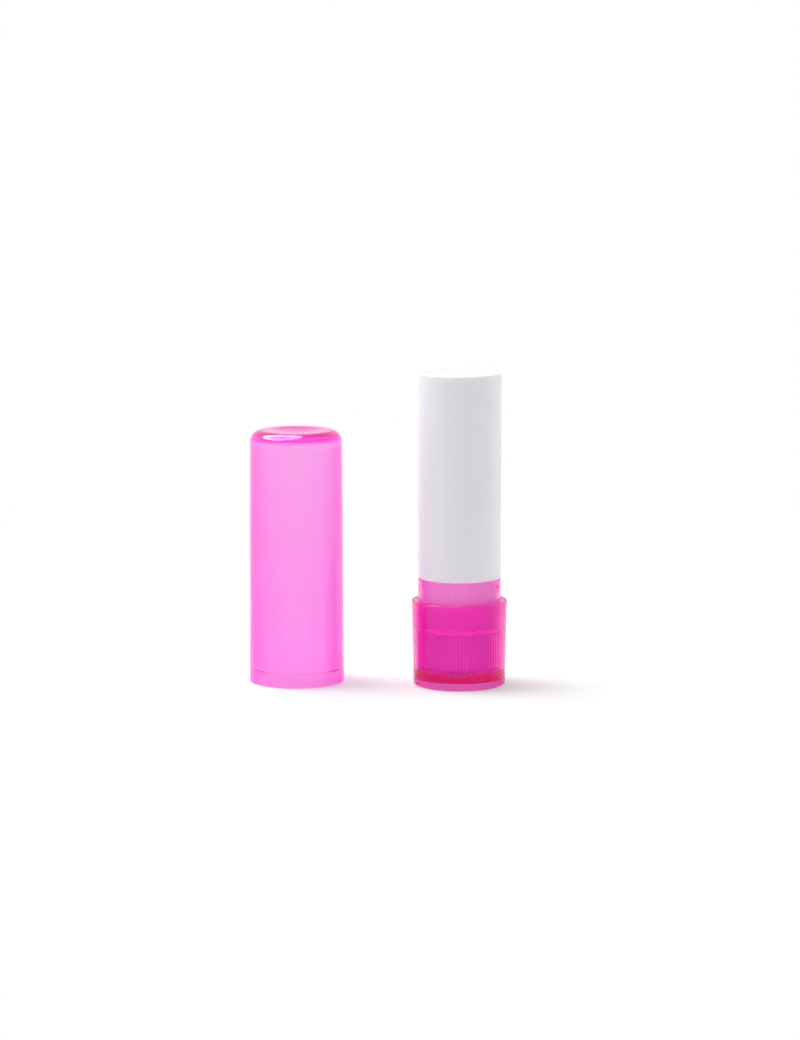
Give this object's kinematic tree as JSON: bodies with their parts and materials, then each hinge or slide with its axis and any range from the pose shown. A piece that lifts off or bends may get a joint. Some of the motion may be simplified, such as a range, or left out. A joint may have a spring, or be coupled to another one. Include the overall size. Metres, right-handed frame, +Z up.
{
  "type": "lip balm stick",
  "caption": "Twist-up lip balm stick: translucent grip cup and sleeve, plain white barrel over a screw that lifts the balm, and a translucent cap standing beside it.",
  "frame": {"origin": "centre of the stick's foot, on the surface that it stands on", "axes": "+Z up along the stick, -Y towards the picture's viewer, and the cap stands on the -X side"},
  "size_m": [0.0515, 0.0222, 0.0624],
  "materials": {
    "cup_plastic": "clear tinted magenta, glossy",
    "sleeve_plastic": "clear tinted pink, glossy",
    "screw_plastic": "white, satin",
    "barrel_plastic": "white, fine satin",
    "carrier_plastic": "white, satin",
    "balm_wax": "white wax, soft sheen",
    "cap_plastic": "clear tinted pink, softly frosted inside"
  },
  "bodies": {
    "base": {"base_cup": "cup_plastic", "inner_sleeve": "sleeve_plastic", "lift_screw": "screw_plastic"},
    "barrel": {"barrel": "barrel_plastic"},
    "carrier": {"balm_carrier": "carrier_plastic", "balm_stick": "balm_wax"},
    "cap": {"cap": "cap_plastic"}
  },
  "joints": [
    {"name": "barrel_twist", "type": "hinge", "parent": "base", "child": "barrel", "pos_m": [0, 0, 0.03], "axis": [0, 0, 1], "range_deg": [0, 3240]},
    {"name": "balm_lift", "type": "slide", "parent": "barrel", "child": "carrier", "axis": [0, 0, 1], "range_m": [0, 0.045]},
    {"name": "cap_lift", "type": "slide", "parent": "base", "child": "cap", "axis": [0, 0, 1], "range_m": [0, 0.07]}
  ],
  "couplings": [
    {"joint": "balm_lift", "follows": "barrel_twist", "m_per_rad": 0.00079577}
  ]
}
